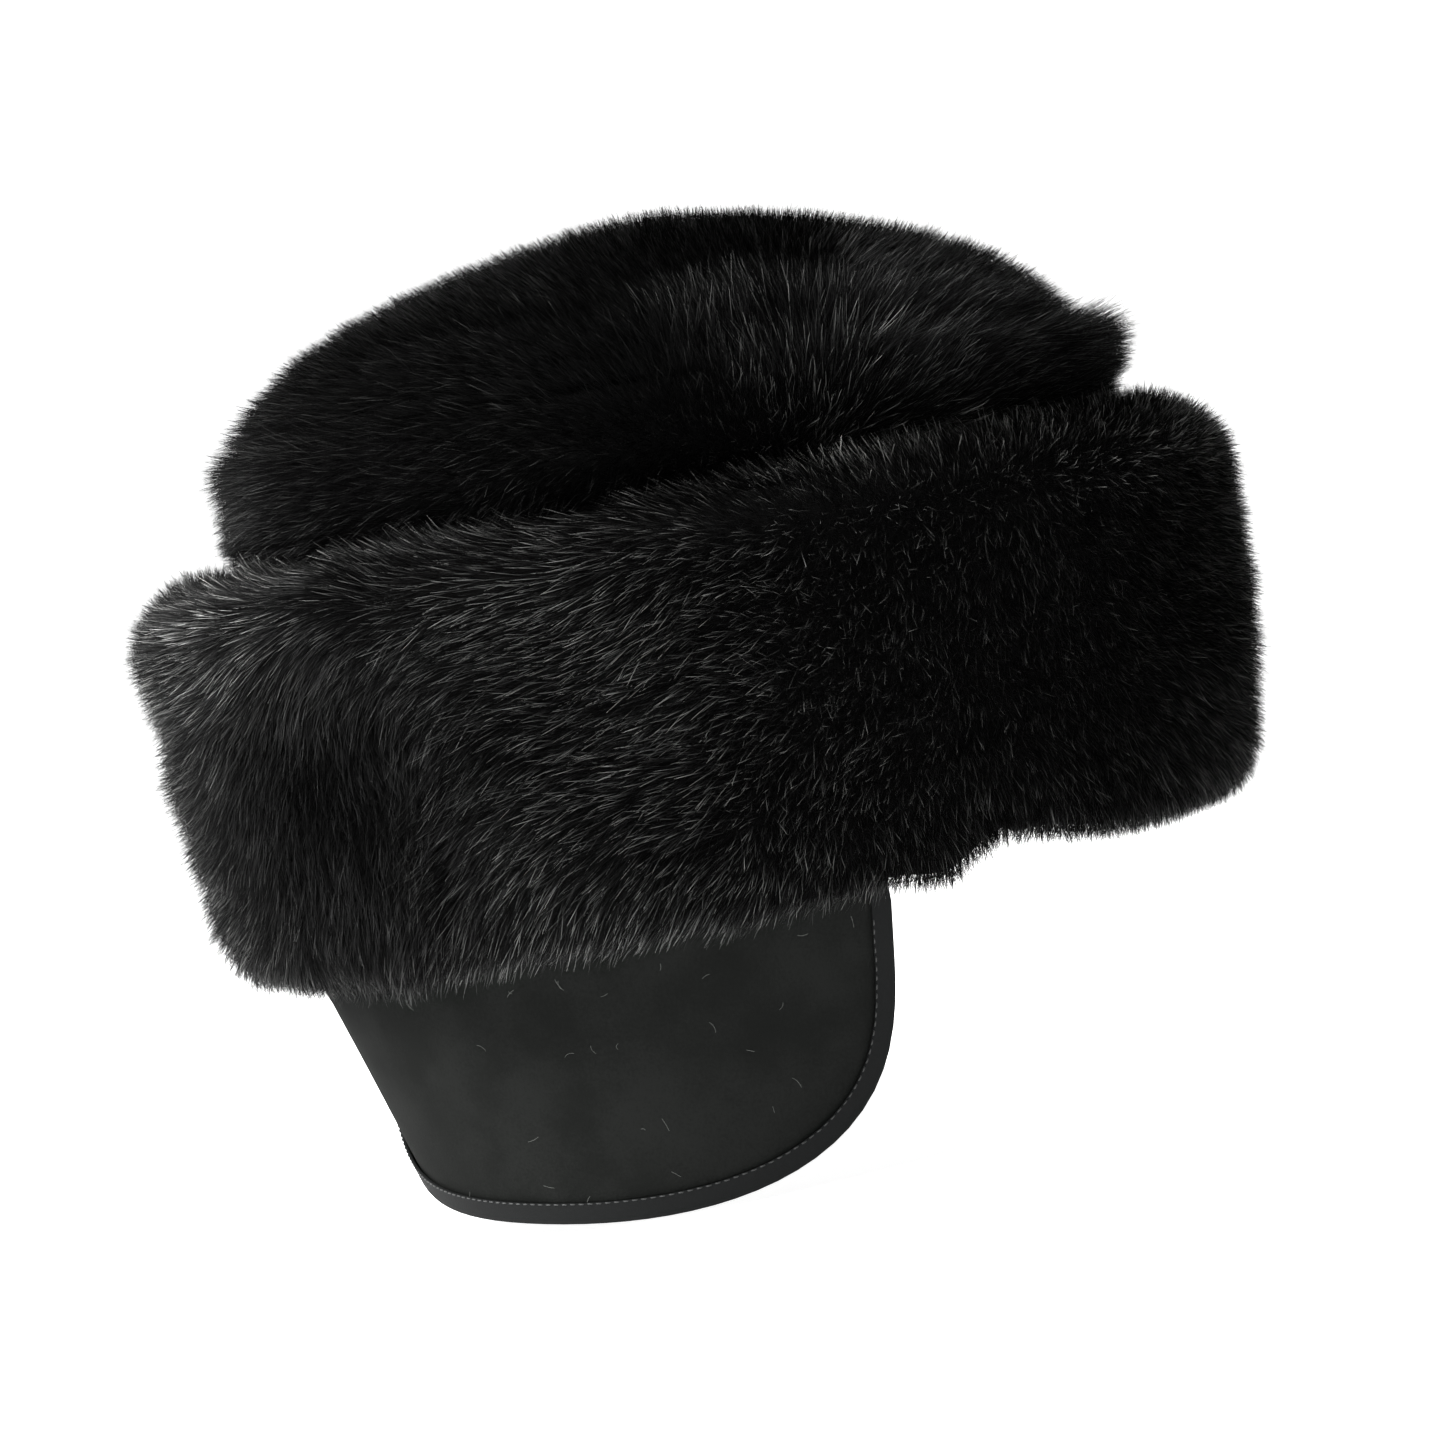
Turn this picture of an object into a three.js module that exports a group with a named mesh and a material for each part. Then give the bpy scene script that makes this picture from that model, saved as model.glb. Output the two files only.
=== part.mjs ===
// A winter cap of black fake fur: a soft domed crown in two panels, a thick turned-up cuff
// and a stiff cloth peak with a bound edge.
// Millimetres, +Z up, the front towards -Y. The origin is the middle of the head opening,
// in the plane of the rim. Angles are turned from the front towards +X.
import * as THREE from 'three';

// Head opening
const HEAD_WIDTH = 161;
const HEAD_LENGTH = 198;

// Crown: a cloth wall that carries the pile
const WALL = 3;
const GAP = 0.3;
const CROWN_TOP = 139.5; // top of the wall, under the pile
const TAPER_FROM = 78; // the side panel stands upright below this height
const SEAM_HEIGHT = 108; // seam between side and top panel, at the temples
const SEAM_RISE = 5; // the seam climbs by this at the front and falls by it at the back
const SEAM_TAPER = 0.055; // share of the width that is lost up to the seam
const SEAM_CURVE = 3.5; // the higher, the nearer to the seam the side panel turns in
const RIM = 7; // lower edge of the wall, inside the cuff's fold
const DOME_ROUNDNESS = 1.65; // 2 is an ellipse
const LEAN = { x: 4, y: -5, power: 1.5 }; // how far the soft top has slumped
const DENTS = [
  // places on the front slope of the top that are pushed in or out, by the rise in height
  { name: 'dimple', x: 42, y: -66, radius: 9, rise: -5 },
  { name: 'ridge, near end', x: 57, y: -55, radius: 9, rise: 3.5 },
  { name: 'ridge, far end', x: 69, y: -40, radius: 10, rise: 3.5 },
];
const CROWN_PILE = 9;
const TOP_ROWS = 7;
const SIDE_ROWS = 2;
const SIDE_PILE_FROM = 88; // the pile of the side panel starts above the cuff
const SEAM_GROOVE = 0.8; // the pile of the side panel ends this far under the seam
const TUFT = { angle: 124, spread: 20, out: 6 }; // ruffled pile at one end of the seam
const INNER_LEVELS = [1.85, 1.65, 1.45, 1.25, 1.1, 1]; // rings inside the top panel

// Cuff: a padded ring, with the pile combed down and round
const CUFF = {
  inside: WALL + GAP,
  topInner: 4.8,
  topHeight: 79.5,
  topThickness: 25,
  topRadius: 8,
  bottomHeight: 7,
  bottomThickness: 19,
  bottomRadius: 7,
  bottomInner: 8,
  reliefHeight: 17, // up to here the inside springs clear of the peak's root
  leanX: 1, // how much further the padding stands out at the top, to the back and to one side
  leanY: 2,
};
const CUFF_PILE = 9.5;
const CUFF_ROWS = 7;
const CUFF_WAVES = [
  // unevenness of the padding: size, waves round the head, and how they turn with height
  { size: 1.3, waves: 3, height: 17, phase: 0 },
  { size: 0.9, waves: 5, height: -11, phase: 1.3 },
];
const CREASE = {
  // a fold in the cuff's lower edge near the front, from its low to its high end
  lowAngle: -8,
  highAngle: -18,
  low: 2,
  high: 26,
  spread: 3, // in degrees round the head
  fade: 8, // in height, past the high end
  depth: 4,
};
const NOTCH = { angle: 71, spread: 8, rise: 8, fade: 42 }; // arch in the lower edge, each side

// Peak: a stiff board covered in cloth, in a U of binding
const PEAK = {
  seat: 4.6, // middle of the board, out from the head opening
  thickness: 2.6,
  tuck: 15, // part of the root that is sewn in behind the cuff
  drop: 50, // length below the rim at the middle
  sideDrop: 7, // straight part of the two side edges
  span: 58, // half of the angle that the root takes up
  roundness: 3.05, // 2 gives an elliptic outline, more gives squarer corners
  flare: -0.22, // how the front leans out as it falls
  curl: 0.33, // how the two sides close in as they fall
  skew: 0.12, // how much lower one side hangs than the other
};
const PEAK_COLUMNS = 48;
const PEAK_ROWS = 6;
const BINDING = { width: 3.5, cloth: 0.7, start: -6 }; // it starts above the rim, in the pile

// Locks of the pile
const LOCK_WIDTH = 14;
const CUFF_SWIRL = -9; // sideways run of a lock of the cuff, from root to tip
const CROWN_SWIRL = -4;
const LOCK = [
  // where along the lock, height in the middle and in the groove beside it, as shares
  { name: 'belly', along: 0.5, grooveAlong: 0.5, middle: 0.95, groove: 0.55 },
  { name: 'tip', along: 1.2, grooveAlong: 0.8, middle: 0.72, groove: 0.45 },
];
const ROOT_LIFT = 0.3; // height of the roots, as a share of the pile
const FIRST_LIFT = 0.08; // the same in the first row
const LOCK_VARIATION = { length: 0.16, height: 0.1, sideways: 0.1 };

const PLAIN_COLUMNS = 56; // round a wall without pile
const SAMPLES = 400; // for places an even distance apart
const TINY = 1e-6;
const TURN = Math.PI * 2;
const QUARTER = Math.PI / 2;

const degrees = THREE.MathUtils.degToRad;
const lerp = THREE.MathUtils.lerp;
const clamp = THREE.MathUtils.clamp;

// A repeatable number from -1 to 1 for a pair of whole numbers
function vary(a, b) {
  const wave = Math.sin(a * 127.1 + b * 311.7 + 74.7) * 43758.5453;
  return 2 * (wave - Math.floor(wave)) - 1;
}

function bell(distance, spread) {
  return Math.exp(-((distance / spread) ** 2));
}

// A point of the head's oval, grown outwards
function ovalPoint(angle, grow, z) {
  const x = (HEAD_WIDTH / 2 + grow) * Math.sin(angle);
  const y = -(HEAD_LENGTH / 2 + grow) * Math.cos(angle);
  return new THREE.Vector3(x, y, z);
}

function seamHeight(angle) {
  return SEAM_HEIGHT + SEAM_RISE * Math.cos(angle);
}

// The crown's wall. Level 0 is the rim, 1 the seam and 2 the top; inset goes into the wall.
function crownPoint(angle, level, inset) {
  const seam = seamHeight(angle);
  const dome = level > 1;
  const arc = QUARTER * (level - 1);
  const power = 2 / DOME_ROUNDNESS;
  const rise = CROWN_TOP - inset - seam;
  const z = dome ? seam + rise * Math.sin(arc) ** power : level * seam;
  const climb = clamp((z - TAPER_FROM) / (seam - TAPER_FROM), 0, 1);
  const taper = 1 - SEAM_TAPER * climb ** SEAM_CURVE;
  const scale = dome ? taper * Math.max(0, Math.cos(arc)) ** power : taper;
  const point = ovalPoint(angle, WALL - inset, z);
  const slump = clamp((z - TAPER_FROM) / (CROWN_TOP - TAPER_FROM), 0, 1) ** LEAN.power;
  point.x = point.x * scale + LEAN.x * slump;
  point.y = point.y * scale + LEAN.y * slump;
  if (!dome) return point;
  for (const { x, y, radius, rise: change } of DENTS) {
    const away = Math.hypot(point.x - x, point.y - y);
    point.z += change * bell(away, radius) * Math.sin(arc);
  }
  return point;
}

// The face of the side panel that carries pile, from the cuff (0) to the seam (1)
function sideFace(angle, along) {
  const start = SIDE_PILE_FROM / seamHeight(angle);
  return crownPoint(angle, lerp(start, 1, along), 0);
}

// The face of the top panel, from the seam (0) to the middle of the top (1)
function topFace(angle, along) {
  return crownPoint(angle, 1 + clamp(along, 0, 0.995), 0);
}

// Section through the cuff's padding: x is the distance out from the head, y the height
function cuffSection() {
  const path = new THREE.Path();
  const { topInner, topHeight, topThickness, topRadius } = CUFF;
  const { bottomHeight, bottomThickness, bottomRadius, bottomInner } = CUFF;
  path.moveTo(topInner, topHeight - 1);
  path.lineTo(topThickness - topRadius, topHeight);
  path.absarc(topThickness - topRadius, topHeight - topRadius, topRadius, QUARTER, 0, true);
  const low = bottomHeight + bottomRadius;
  path.lineTo(bottomThickness, low);
  path.absarc(bottomThickness - bottomRadius, low, bottomRadius, 0, -QUARTER, true);
  path.lineTo(bottomInner, bottomHeight);
  return path;
}
const CUFF_PATH = cuffSection();

// The angle in degrees, from -180 to 180
function turnOf(angle) {
  return THREE.MathUtils.radToDeg(Math.atan2(Math.sin(angle), Math.cos(angle)));
}

// How deep the crease is at a place on the cuff
function creaseDepth(angle, height) {
  const { lowAngle, highAngle, low, high, spread: width, fade, depth } = CREASE;
  const along = clamp((height - low) / (high - low), 0, 1);
  const aside = turnOf(angle) - lerp(lowAngle, highAngle, along);
  return depth * bell(aside, width) * bell(Math.max(0, height - high), fade);
}

// The arches in the lower edge
function shapeCuff(point, angle) {
  const turned = turnOf(angle);
  const near = bell(Math.abs(turned) - NOTCH.angle, NOTCH.spread);
  const low = clamp(1 - point.z / NOTCH.fade, 0, 1);
  point.z += NOTCH.rise * near * low;
  return point;
}

function cuffFace(angle, along) {
  const at = CUFF_PATH.getPointAt(clamp(along, 0, 1));
  const free = clamp((at.x - CUFF.topInner) / CUFF.topRadius, 0, 1);
  let wave = 0;
  for (const { size, waves, height, phase } of CUFF_WAVES) {
    wave += size * Math.sin(waves * angle + at.y / height + phase);
  }
  const out = at.x + (wave - creaseDepth(angle, at.y)) * free;
  const point = ovalPoint(angle, out, at.y);
  const lift = at.y / CUFF.topHeight - 0.5;
  point.x += CUFF.leanX * lift * free;
  point.y += CUFF.leanY * lift * free;
  return shapeCuff(point, angle);
}

// A point that stands off a face by some height. Side is -1 for a face whose length runs down.
function raised(face, side, angle, along, height) {
  const step = 0.004;
  const point = face(angle, along);
  const across = face(angle + step, along).sub(face(angle - step, along));
  const up = face(angle, along + step).sub(face(angle, along - step));
  const normal = across.cross(up).normalize();
  return point.addScaledVector(normal, height * side);
}

// The samples that lie nearest to even steps of a growing length
function spread(lengths, count) {
  const total = lengths[lengths.length - 1];
  const picks = [];
  for (let k = 0; k <= count; k++) {
    picks.push(lengths.findIndex((length) => length >= (total * k) / count - TINY));
  }
  return picks;
}

// Places along a face that are the same distance apart
function evenPlaces(face, count, end) {
  const lengths = [0];
  for (let i = 1; i <= SAMPLES; i++) {
    const from = face(QUARTER, (end * (i - 1)) / SAMPLES);
    lengths.push(lengths[i - 1] + from.distanceTo(face(QUARTER, (end * i) / SAMPLES)));
  }
  return spread(lengths, count).map((at) => (end * at) / SAMPLES);
}

function girth(face, along) {
  let sum = 0;
  for (let i = 0; i < PLAIN_COLUMNS; i++) {
    const from = face((TURN * i) / PLAIN_COLUMNS, along);
    sum += from.distanceTo(face((TURN * (i + 1)) / PLAIN_COLUMNS, along));
  }
  return sum;
}

// A closed loop of vertices, each with its angle
function plainLoop(columns, place) {
  const loop = [];
  for (let i = 0; i < columns; i++) {
    const angle = (TURN * i) / columns;
    loop.push({ angle, point: place(angle) });
  }
  return loop;
}

// Loops of overlapping rows of locks on a face. The tips of a row hang over the next roots.
function lockLoops(face, { rows, end, pile, swirl, endAlong, side }) {
  const places = evenPlaces(face, rows, end);
  const { length: longer, height: higher, sideways } = LOCK_VARIATION;
  const loops = [];
  for (let row = 0; row < rows; row++) {
    const from = places[row];
    const length = places[row + 1] - from;
    const around = girth(face, from + length / 2);
    const locks = Math.max(5, Math.round(around / LOCK_WIDTH));
    const pitch = TURN / locks;
    const offset = (row % 2) * 0.5 * pitch;
    const lift = row === 0 ? FIRST_LIFT : ROOT_LIFT;
    loops.push(rootLoop(face, side, locks, offset, from, lift * pile));
    for (const stage of LOCK) {
      const loop = [];
      for (let i = 0; i < 2 * locks; i++) {
        const middle = i % 2 === 0;
        const change = vary(i, row);
        const share = (middle ? stage.along : stage.grooveAlong) * (1 + longer * change);
        const height = (middle ? stage.middle : stage.groove) * pile * (1 + higher * change);
        const lean = (swirl * TURN * stage.along) / around + sideways * pitch * vary(row, i);
        const angle = offset + (i * pitch) / 2 + lean;
        const along = Math.min(from + length * share, endAlong);
        loop.push({ angle, point: raised(face, side, angle, along, height) });
      }
      loops.push(loop);
    }
  }
  return loops;
}

function rootLoop(face, side, locks, offset, along, height) {
  const loop = [];
  for (let i = 0; i < locks; i++) {
    const angle = offset + ((i + 0.5) * TURN) / locks;
    loop.push({ angle, point: raised(face, side, angle, along, height) });
  }
  return loop;
}

// Triangles between two closed loops, which may have different numbers of vertices
function bridge(lower, upper, triangles) {
  const after = (loop, k) => loop[k % loop.length].angle + TURN * Math.floor(k / loop.length);
  let i = 0;
  let j = 0;
  while (i < lower.length || j < upper.length) {
    const a = lower[i % lower.length].point;
    const b = upper[j % upper.length].point;
    const useLower = j >= upper.length
      || (i < lower.length && after(lower, i + 1) <= after(upper, j + 1));
    if (useLower) {
      triangles.push([a, lower[(i + 1) % lower.length].point, b]);
      i += 1;
    } else {
      triangles.push([a, upper[(j + 1) % upper.length].point, b]);
      j += 1;
    }
  }
}

function fan(loop, pole, triangles) {
  for (let i = 0; i < loop.length; i++) {
    triangles.push([loop[i].point, loop[(i + 1) % loop.length].point, pole]);
  }
}

// An indexed mesh geometry from triangles that share their corner vectors
function geometryOf(triangles) {
  const numbers = new Map();
  const positions = [];
  const index = [];
  let volume = 0;
  for (const triangle of triangles) {
    volume += triangle[0].dot(triangle[1].clone().cross(triangle[2]));
    for (const corner of triangle) {
      if (!numbers.has(corner)) {
        numbers.set(corner, numbers.size);
        positions.push(corner.x, corner.y, corner.z);
      }
      index.push(numbers.get(corner));
    }
  }
  if (volume < 0) index.reverse();
  const geometry = new THREE.BufferGeometry();
  geometry.setAttribute('position', new THREE.Float32BufferAttribute(positions, 3));
  geometry.setIndex(index);
  geometry.computeVertexNormals();
  return geometry;
}

function ringGeometry(loops) {
  const triangles = [];
  loops.forEach((loop, k) => bridge(loop, loops[(k + 1) % loops.length], triangles));
  return geometryOf(triangles);
}

function domeGeometry(loops, innerPole, outerPole) {
  const triangles = [];
  fan(loops[0], innerPole, triangles);
  triangles.forEach((triangle) => triangle.reverse());
  for (let k = 0; k + 1 < loops.length; k++) bridge(loops[k], loops[k + 1], triangles);
  fan(loops[loops.length - 1], outerPole, triangles);
  return geometryOf(triangles);
}

// The side panel: a plain wall behind the cuff, with pile from the cuff up to the seam
function crownSide() {
  const seamSlack = GAP / 2;
  const wall = (z, inset) => plainLoop(PLAIN_COLUMNS, (angle) => {
    return crownPoint(angle, z / seamHeight(angle), inset);
  });
  const rim = (inset) => plainLoop(PLAIN_COLUMNS, (angle) => {
    return shapeCuff(crownPoint(angle, RIM / seamHeight(angle), inset), angle);
  });
  const edge = (inset) => plainLoop(PLAIN_COLUMNS, (angle) => {
    const point = crownPoint(angle, 1, inset);
    point.z -= seamSlack;
    return point;
  });
  const pile = lockLoops(sideFace, {
    rows: SIDE_ROWS, end: 1, pile: CROWN_PILE, swirl: CROWN_SWIRL, endAlong: 0.93, side: 1,
  });
  for (const { angle, point } of pile.flat()) {
    const push = TUFT.out * bell(angle - degrees(TUFT.angle), degrees(TUFT.spread));
    const up = (point.z - SIDE_PILE_FROM) / (seamHeight(angle) - SIDE_PILE_FROM);
    point.addScaledVector(ovalPoint(angle, 0, 0).normalize(), push * clamp(up, 0, 1));
    point.z = Math.min(point.z, seamHeight(angle) - SEAM_GROOVE);
  }
  const outside = [rim(0), wall(TAPER_FROM, 0), ...pile, edge(0)];
  const inside = [edge(WALL), wall(SIDE_PILE_FROM, WALL), wall(TAPER_FROM, WALL), rim(WALL)];
  return ringGeometry([...outside, ...inside]);
}

// The top panel: a shallow dome, its pile rising from the seam to the middle
function crownTop() {
  const seamSlack = GAP / 2;
  const ring = (level, inset) => plainLoop(PLAIN_COLUMNS, (angle) => {
    const point = crownPoint(angle, level, inset);
    if (level === 1) point.z += seamSlack;
    return point;
  });
  const inside = INNER_LEVELS.map((level) => ring(level, WALL));
  const pile = lockLoops(topFace, {
    rows: TOP_ROWS, end: 0.88, pile: CROWN_PILE, swirl: CROWN_SWIRL, endAlong: 0.95, side: 1,
  });
  const innerPole = crownPoint(0, 2, WALL);
  const outerPole = crownPoint(0, 2, 0);
  outerPole.z += CROWN_PILE * 0.8;
  return domeGeometry([...inside, ring(1, 0), ...pile], innerPole, outerPole);
}

// The cuff: a padded ring round the side panel
function cuff() {
  const inner = (grow, z) => plainLoop(PLAIN_COLUMNS, (angle) => {
    return shapeCuff(ovalPoint(angle, grow, z), angle);
  });
  const pile = lockLoops(cuffFace, {
    rows: CUFF_ROWS, end: 0.97, pile: CUFF_PILE, swirl: CUFF_SWIRL, endAlong: 1, side: -1,
  });
  const { inside, bottomInner, bottomHeight, reliefHeight, topHeight } = CUFF;
  const edge = 1; // the hem's edges are eased by this
  const back = [
    inner(bottomInner - edge, bottomHeight + edge),
    inner(bottomInner - edge, reliefHeight),
    inner(inside, reliefHeight + bottomInner - inside),
    inner(inside, topHeight - 3 * edge),
  ];
  return ringGeometry([...pile, ...back]);
}

// The middle layer of the peak's board. Drop is measured down from the rim.
function peakPoint(angle, drop) {
  const fall = Math.max(0, drop);
  const point = ovalPoint(angle, PEAK.seat, -drop);
  point.x -= PEAK.curl * fall * Math.sin(angle);
  point.y -= PEAK.flare * fall * Math.cos(angle);
  point.z -= (PEAK.skew * point.x * fall) / PEAK.drop;
  return point;
}

function peakNormal(angle, drop) {
  const step = 0.01;
  const across = peakPoint(angle + step, drop).sub(peakPoint(angle - step, drop));
  const down = peakPoint(angle, drop + step).sub(peakPoint(angle, drop - step));
  return down.cross(across).normalize();
}

// Lowest drop of the board at a share of the half span, from -1 to 1
function peakEdge(share) {
  const curve = 1 - Math.abs(share) ** PEAK.roundness;
  return PEAK.sideDrop + (PEAK.drop - PEAK.sideDrop) * Math.max(0, curve) ** (1 / PEAK.roundness);
}

// Places on the rounded edge of the board that are the same distance apart
function edgePlaces() {
  const fine = [];
  for (let k = 0; k <= SAMPLES; k++) {
    const share = Math.sin(QUARTER * ((2 * k) / SAMPLES - 1));
    fine.push([degrees(PEAK.span) * share, peakEdge(share)]);
  }
  const curve = new THREE.CatmullRomCurve3(fine.map(([angle, drop]) => peakPoint(angle, drop)));
  return spread(curve.getLengths(SAMPLES), PEAK_COLUMNS).map((at) => fine[at]);
}

function peakBoard() {
  const columns = PEAK_COLUMNS;
  const rows = PEAK_ROWS;
  const places = edgePlaces();
  const layer = (side) => {
    const grid = [];
    for (const [angle, edge] of places) {
      const column = [];
      for (let j = 0; j <= rows; j++) {
        const drop = j === 0 ? -PEAK.tuck : (edge * (j - 1)) / (rows - 1);
        const point = peakPoint(angle, drop);
        point.addScaledVector(peakNormal(angle, drop), (side * PEAK.thickness) / 2);
        column.push(point);
      }
      grid.push(column);
    }
    return grid;
  };
  const front = layer(1);
  const back = layer(-1);
  const triangles = [];
  const quad = (a, b, c, d) => triangles.push([a, b, c], [a, c, d]);
  for (let i = 0; i < columns; i++) {
    for (let j = 0; j < rows; j++) {
      quad(front[i][j], front[i][j + 1], front[i + 1][j + 1], front[i + 1][j]);
      quad(back[i][j], back[i + 1][j], back[i + 1][j + 1], back[i][j + 1]);
    }
    quad(front[i][0], front[i + 1][0], back[i + 1][0], back[i][0]);
    quad(front[i + 1][rows], front[i][rows], back[i][rows], back[i + 1][rows]);
  }
  for (let j = 0; j < rows; j++) {
    quad(front[0][j + 1], front[0][j], back[0][j], back[0][j + 1]);
    quad(front[columns][j], front[columns][j + 1], back[columns][j + 1], back[columns][j]);
  }
  return geometryOf(triangles);
}

// A strip of cloth folded over the edge of the board, open along the board
function peakBinding() {
  const span = degrees(PEAK.span);
  const { start } = BINDING;
  const places = [[-span, start], [-span, 0], ...edgePlaces(), [span, 0], [span, start]];
  const half = PEAK.thickness / 2 + GAP;
  const full = half + BINDING.cloth;
  const inner = BINDING.width;
  const outer = -GAP - BINDING.cloth;
  const section = [
    [inner, half], [inner, full], [outer, full], [outer, -full],
    [inner, -full], [inner, -half], [-GAP, -half], [-GAP, half],
  ];
  const points = places.map(([angle, drop]) => peakPoint(angle, drop));
  const rings = places.map(([angle, drop], k) => {
    const before = points[Math.max(0, k - 1)];
    const behind = points[Math.min(points.length - 1, k + 1)];
    const along = behind.clone().sub(before).normalize();
    const normal = peakNormal(angle, drop);
    const inward = normal.clone().cross(along).normalize();
    return section.map(([e, n]) => points[k].clone()
      .addScaledVector(inward, e).addScaledVector(normal, n));
  });
  const triangles = [];
  const sides = section.length;
  for (let k = 0; k + 1 < rings.length; k++) {
    for (let s = 0; s < sides; s++) {
      const t = (s + 1) % sides;
      triangles.push([rings[k][s], rings[k][t], rings[k + 1][t]]);
      triangles.push([rings[k][s], rings[k + 1][t], rings[k + 1][s]]);
    }
  }
  const corners = section.map(([e, n]) => new THREE.Vector2(e, n));
  const caps = THREE.ShapeUtils.triangulateShape(corners, []);
  const first = rings[0];
  const last = rings[rings.length - 1];
  for (const [a, b, c] of caps) {
    triangles.push([first[c], first[b], first[a]]);
    triangles.push([last[a], last[b], last[c]]);
  }
  return geometryOf(triangles);
}

function piece(name, geometry, material) {
  const mesh = new THREE.Mesh(geometry, new THREE.MeshStandardMaterial(material));
  mesh.name = name;
  return mesh;
}

const PILE_FINISH = { color: '#151516', roughness: 0.85, metalness: 0 };
const CLOTH_FINISH = { color: '#28282b', roughness: 0.9, metalness: 0 };
const BINDING_FINISH = { color: '#1f2122', roughness: 0.85, metalness: 0 };

const cap = new THREE.Group();
cap.name = 'fur_cap';
cap.add(piece('crown_top', crownTop(), PILE_FINISH));
cap.add(piece('crown_side', crownSide(), PILE_FINISH));
cap.add(piece('cuff', cuff(), PILE_FINISH));
cap.add(piece('peak', peakBoard(), CLOTH_FINISH));
cap.add(piece('peak_binding', peakBinding(), BINDING_FINISH));

export default cap;
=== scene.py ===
"""A winter cap of black fake fur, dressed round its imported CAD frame.

The crown and the cuff become soft bodies with a combed pile of single strands, the peak gets
its cloth, its tape binding and the stitches that hold it. Metres, +Z up, the front towards -Y.
Angles round the head are turned from the front towards +X.
"""

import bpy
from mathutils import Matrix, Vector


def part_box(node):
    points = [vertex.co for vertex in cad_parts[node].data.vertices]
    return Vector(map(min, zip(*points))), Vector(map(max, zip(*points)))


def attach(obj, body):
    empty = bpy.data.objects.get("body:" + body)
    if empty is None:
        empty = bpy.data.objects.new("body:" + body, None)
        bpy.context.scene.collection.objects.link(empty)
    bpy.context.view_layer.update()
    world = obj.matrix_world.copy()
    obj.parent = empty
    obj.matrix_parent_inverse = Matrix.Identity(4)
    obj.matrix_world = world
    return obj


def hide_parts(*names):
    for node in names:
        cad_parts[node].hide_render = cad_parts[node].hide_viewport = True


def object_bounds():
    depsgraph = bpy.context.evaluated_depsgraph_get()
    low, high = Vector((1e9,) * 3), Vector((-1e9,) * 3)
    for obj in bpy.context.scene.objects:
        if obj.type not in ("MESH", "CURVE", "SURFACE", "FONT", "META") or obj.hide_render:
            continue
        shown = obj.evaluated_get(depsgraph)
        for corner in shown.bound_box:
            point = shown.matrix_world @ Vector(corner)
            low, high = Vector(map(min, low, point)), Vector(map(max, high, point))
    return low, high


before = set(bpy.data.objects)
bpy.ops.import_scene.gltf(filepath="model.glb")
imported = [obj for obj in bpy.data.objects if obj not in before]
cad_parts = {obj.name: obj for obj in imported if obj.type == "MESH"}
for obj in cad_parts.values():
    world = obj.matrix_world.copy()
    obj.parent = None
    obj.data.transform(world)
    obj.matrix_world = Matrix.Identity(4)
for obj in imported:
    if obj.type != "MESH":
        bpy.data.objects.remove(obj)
CAD_BOX = [list(corner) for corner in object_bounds()]

import math

import bmesh
import bpy
import numpy as np
from bpy.props import FloatProperty, IntProperty, PointerProperty, StringProperty
from mathutils import Matrix, Vector
from mathutils.bvhtree import BVHTree

bl_info = {
    "name": "Fake fur cap",
    "version": (1, 0, 0),
    "blender": (4, 5, 0),
    "location": "3D View > Sidebar > Cap",
    "description": "Dresses a fake fur cap: pile, peak cloth, binding and stitches",
    "category": "Object",
}

MM = 0.001
HEAD_MIDDLE = Vector((0.0, 0.0, 0.045))  # sees every inner wall; camera and lights face it
MERGE = 0.02 * MM  # corners closer than this are one
BELOW, ABOVE = -1.0, 1.0  # heights under and over the whole cap

# Camera, measured against the photograph's outline
VIEW_AZIMUTH = math.radians(37.5)
VIEW_ELEVATION = math.radians(1.7)
VIEW_ROLL = math.radians(11.1)
VIEW_DISTANCE = 1.2
VIEW_SCALE = 4660.0  # pixels to a metre at the target
IMAGE_SIZE = 1440
VIEW_OFFSET = (-1.3, -30.7)  # where the target stands, right and below the image's middle, in pixels

UP = np.array([0.0, 0.0, 1.0])
FRONT = np.array([math.sin(VIEW_AZIMUTH), -math.cos(VIEW_AZIMUTH), 0.0])  # towards the camera
RIGHT = np.array([math.cos(VIEW_AZIMUTH), math.sin(VIEW_AZIMUTH), 0.0])  # as the camera sees it

# Settings that many nodes share
TIMES = {"operation": "MULTIPLY"}
PLUS = {"operation": "ADD"}
SCALED = {"operation": "SCALE"}
NUMBER = {"data_type": "FLOAT"}
DIRECTION = {"data_type": "FLOAT_VECTOR"}


# Shared helpers

def linear(hex_colour):
    """Turns an sRGB hex value to linear red, green, blue and alpha."""
    values = [int(hex_colour[i:i + 2], 16) / 255 for i in (1, 3, 5)]
    curve = [v / 12.92 if v <= 0.04045 else ((v + 0.055) / 1.055) ** 2.4 for v in values]
    return (*curve, 1.0)


def socket_of(sockets, key):
    """The socket in use with that index, identifier or name."""
    if isinstance(key, int):
        return sockets[key]
    return next(s for s in sockets if s.enabled and key in (s.identifier, s.name))


def add_node(tree, kind, settings=(), links=()):
    """Adds a node. Links give each input a value, or (node, output) to be joined to."""
    node = tree.nodes.new(kind)
    for name, value in dict(settings).items():
        setattr(node, name, value)
    for key, value in dict(links).items():
        target = socket_of(node.inputs, key)
        if isinstance(value, tuple) and isinstance(value[0], bpy.types.Node):
            tree.links.new(socket_of(value[0].outputs, value[1]), target)
        else:
            target.default_value = value
    return node


def new_material(name):
    """An empty node material and its tree."""
    material = bpy.data.materials.new(name)
    material.use_nodes = True
    material.node_tree.nodes.clear()
    return material, material.node_tree


def close_material(tree, shader):
    """Joins a shader to the material's output."""
    add_node(tree, "ShaderNodeOutputMaterial", {}, {"Surface": (shader, "BSDF")})


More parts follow.
